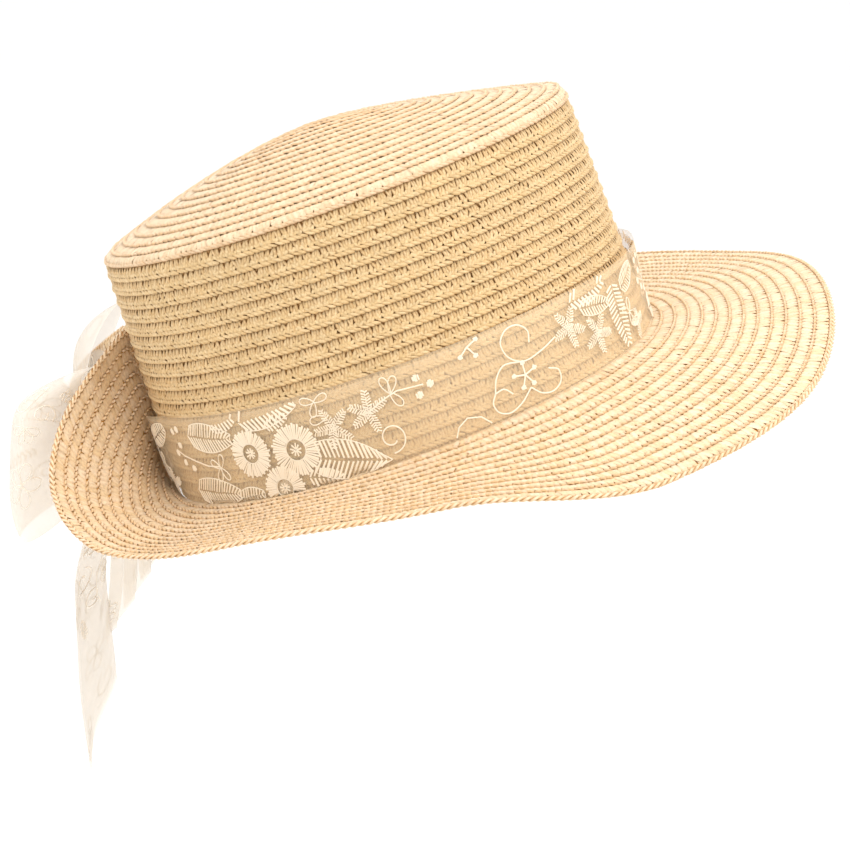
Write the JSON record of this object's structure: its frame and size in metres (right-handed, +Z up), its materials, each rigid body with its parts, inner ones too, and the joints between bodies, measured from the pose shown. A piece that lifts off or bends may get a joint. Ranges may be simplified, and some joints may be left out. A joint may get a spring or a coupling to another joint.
{
  "type": "straw boater hat",
  "caption": "Women's sewn straw-braid boater hat with a shallow domed crown, a brim split and turned up at the back, and a sheer lace ribbon tied in a bow with hanging tails.",
  "frame": {"origin": "centre of the head opening, in the plane where the crown meets the brim", "axes": "+X to the hat's front, +Y to the wearer's left, +Z up with the hat tipped back as worn"},
  "size_m": [0.3228, 0.2857, 0.2802],
  "materials": {
    "straw_braid": "matt sewn paper-straw braid",
    "lace_ribbon": "sheer organza with raised embroidery"
  },
  "bodies": {
    "root": {"crown": "straw_braid", "brim": "straw_braid", "brim_edge": "straw_braid", "band": "lace_ribbon", "bow_knot": "lace_ribbon", "bow_loop_near": "lace_ribbon", "bow_loop_far": "lace_ribbon", "bow_tail_long": "lace_ribbon", "bow_tail_short": "lace_ribbon"}
  },
  "joints": []
}
